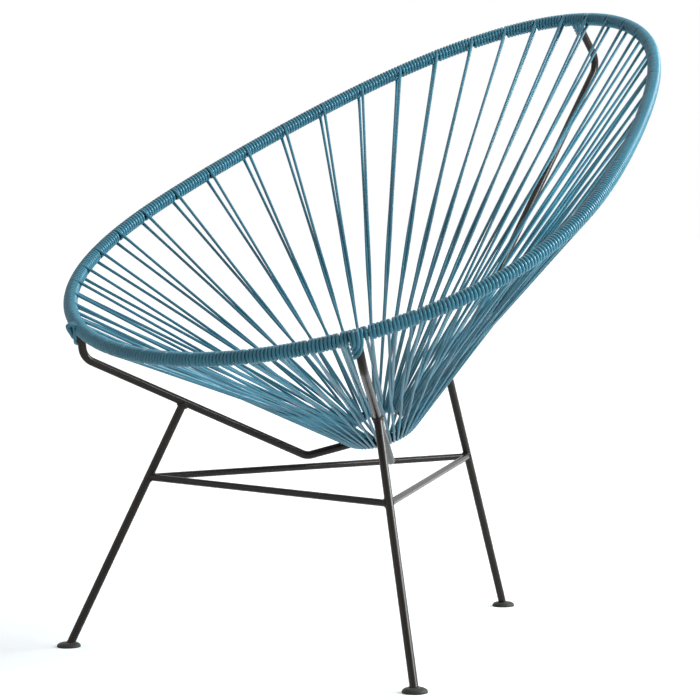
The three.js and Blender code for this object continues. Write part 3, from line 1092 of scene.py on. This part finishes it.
def tube_uv(line):
    """The share of a turn across and the metres along, at each corner of each face."""
    corners = (len(line) - 1, cord_sides, 4)
    quad_corners = math.prod(corners)
    runs = np.linalg.norm(np.diff(line, axis=0), axis=1)
    lengths = np.concatenate(([0], np.cumsum(runs)))
    ring = np.arange(cord_sides)
    around = np.stack((ring, ring + 1, ring + 1, ring), axis=-1) / cord_sides
    along = np.stack((lengths[:-1], lengths[:-1], lengths[1:], lengths[1:]), axis=-1)
    uv = np.zeros((quad_corners + 2 * cord_sides, 2))
    uv[:quad_corners, 0] = np.broadcast_to(around, corners).reshape(-1)
    uv[:quad_corners, 1] = np.broadcast_to(along[:, None, :], corners).reshape(-1)
    return uv


def sweep_cord(name, points, diameters):
    """A round tube along points[1:-1], with its length and its turn as UVs and its crest marked."""
    line = points[1:-1]
    radii = diameters[1:-1] / 2
    offsets = tube_offsets(unit(points[2:] - points[:-2]))
    vertices = line[:, None, :] + offsets * radii[:, None, None]
    mesh = bpy.data.meshes.new(name)
    mesh.from_pydata(vertices.reshape(-1, 3).tolist(), [], tube_faces(len(line)))
    layer = mesh.uv_layers.new(name="along_cord")
    layer.data.foreach_set("uv", tube_uv(line).reshape(-1))
    # The crest mark drives the painted shade in the cord's grooves
    mark = mesh.attributes.new("crest", "FLOAT", "POINT")
    mark.data.foreach_set("value", crest_of_winding(line, offsets).reshape(-1))
    mesh.shade_smooth()
    piece = bpy.data.objects.new(name, mesh)
    bpy.context.scene.collection.objects.link(piece)
    piece.data.materials.append(cord_plastic)
    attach(piece, "root")
    return piece


def add_cord():
    """All sections of the seat's cord."""
    for first_place in range(0, pair_count, pairs_in_section):
        number = f"{first_place // pairs_in_section + 1:02d}"
        points, diameters = section_route(first_place)
        piece = sweep_cord("wound_cord_" + number, points, diameters)
        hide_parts("cord_section_" + number)


add_cord()
add_arm_end("left")
add_arm_end("right")

# Floor, backdrop and light


def split_by_ray(tree, plain, seen, surface):
    """Shows one shader to the camera and in reflections, and the plain one to all other rays."""
    path = tree.nodes.new("ShaderNodeLightPath")
    direct = math_node(tree, "MAXIMUM", path.outputs["Is Camera Ray"], path.outputs["Is Glossy Ray"])
    direct = math_node(tree, "MAXIMUM", direct, path.outputs["Is Transmission Ray"])
    choice = tree.nodes.new("ShaderNodeMixShader")
    tree.links.new(direct, choice.inputs["Fac"])
    tree.links.new(plain, choice.inputs[1])
    tree.links.new(seen, choice.inputs[2])
    tree.links.new(choice.outputs["Shader"], surface)


def add_floor():
    """A plain white floor that keeps the chair's soft shadow and is evened out to white afar."""
    floor_size = 60
    near, far = 1.0, 4.0
    near_glow, far_glow = 0.42, 0.9
    bpy.ops.mesh.primitive_plane_add(size=floor_size, location=(0, 0, 0))
    floor = bpy.context.object
    floor.name = "floor"
    material, tree, shader = new_material("floor_white")
    shader.inputs["Base Color"].default_value = (0.8, 0.8, 0.8, 1)
    shader.inputs["Roughness"].default_value = 0.9
    glow = tree.nodes.new("ShaderNodeEmission")
    place = tree.nodes.new("ShaderNodeTexCoord").outputs["Object"]
    reach = tree.nodes.new("ShaderNodeVectorMath")
    reach.operation = "LENGTH"
    tree.links.new(place, reach.inputs[0])
    away = spread(tree, reach.outputs["Value"], near, far)
    tree.links.new(scaled(tree, away, near_glow, far_glow), glow.inputs["Strength"])
    both = tree.nodes.new("ShaderNodeAddShader")
    tree.links.new(shader.outputs["BSDF"], both.inputs[0])
    tree.links.new(glow.outputs["Emission"], both.inputs[1])
    split_by_ray(tree, shader.outputs["BSDF"], both.outputs["Shader"],
                 tree.nodes["Material Output"].inputs["Surface"])
    floor.data.materials.append(material)


def set_world():
    """White where the camera or a reflection sees it, and an even pale light elsewhere."""
    world = bpy.data.worlds.new("studio")
    world.use_nodes = True
    bpy.context.scene.world = world
    tree = world.node_tree
    pale = tree.nodes["Background"]
    pale.inputs["Color"].default_value = (0.88, 0.94, 1.0, 1)
    pale.inputs["Strength"].default_value = 0.15
    white = tree.nodes.new("ShaderNodeBackground")
    white.inputs["Color"].default_value = (1, 1, 1, 1)
    split_by_ray(tree, pale.outputs["Background"], white.outputs["Background"],
                 tree.nodes["World Output"].inputs["Surface"])


def add_soft_light(name, place, size, power, colour):
    """An area light, (width, height) in size, aimed at the seat."""
    light = bpy.data.lights.new(name, "AREA")
    light.shape = "RECTANGLE"
    light.size, light.size_y = size
    light.energy = power
    light.color = colour
    lamp = bpy.data.objects.new(name, light)
    aim = (Vector(seat_middle) - Vector(place)).to_track_quat("-Z", "Y")
    lamp.matrix_world = Matrix.Translation(place) @ aim.to_matrix().to_4x4()
    bpy.context.scene.collection.objects.link(lamp)


add_floor()
set_world()
seat_middle = (0, 0, 0.45)
add_soft_light("key", (3.5, 1.45, 2.5), (3.0, 1.0), 195, (0.86, 0.96, 1.0))
add_soft_light("side", (2.05, 2.50, 2.03), (1.1, 1.2), 110, (0.88, 0.96, 1.0))
add_soft_light("overhead", (-0.4, 0.6, 3.4), (2.2, 2.2), 22, (0.93, 0.98, 1.0))
add_soft_light("fill", (-1.6, -3.2, 1.6), (2.0, 2.0), 9, (1.0, 0.95, 0.90))

bpy.context.scene.view_settings.view_transform = "Standard"
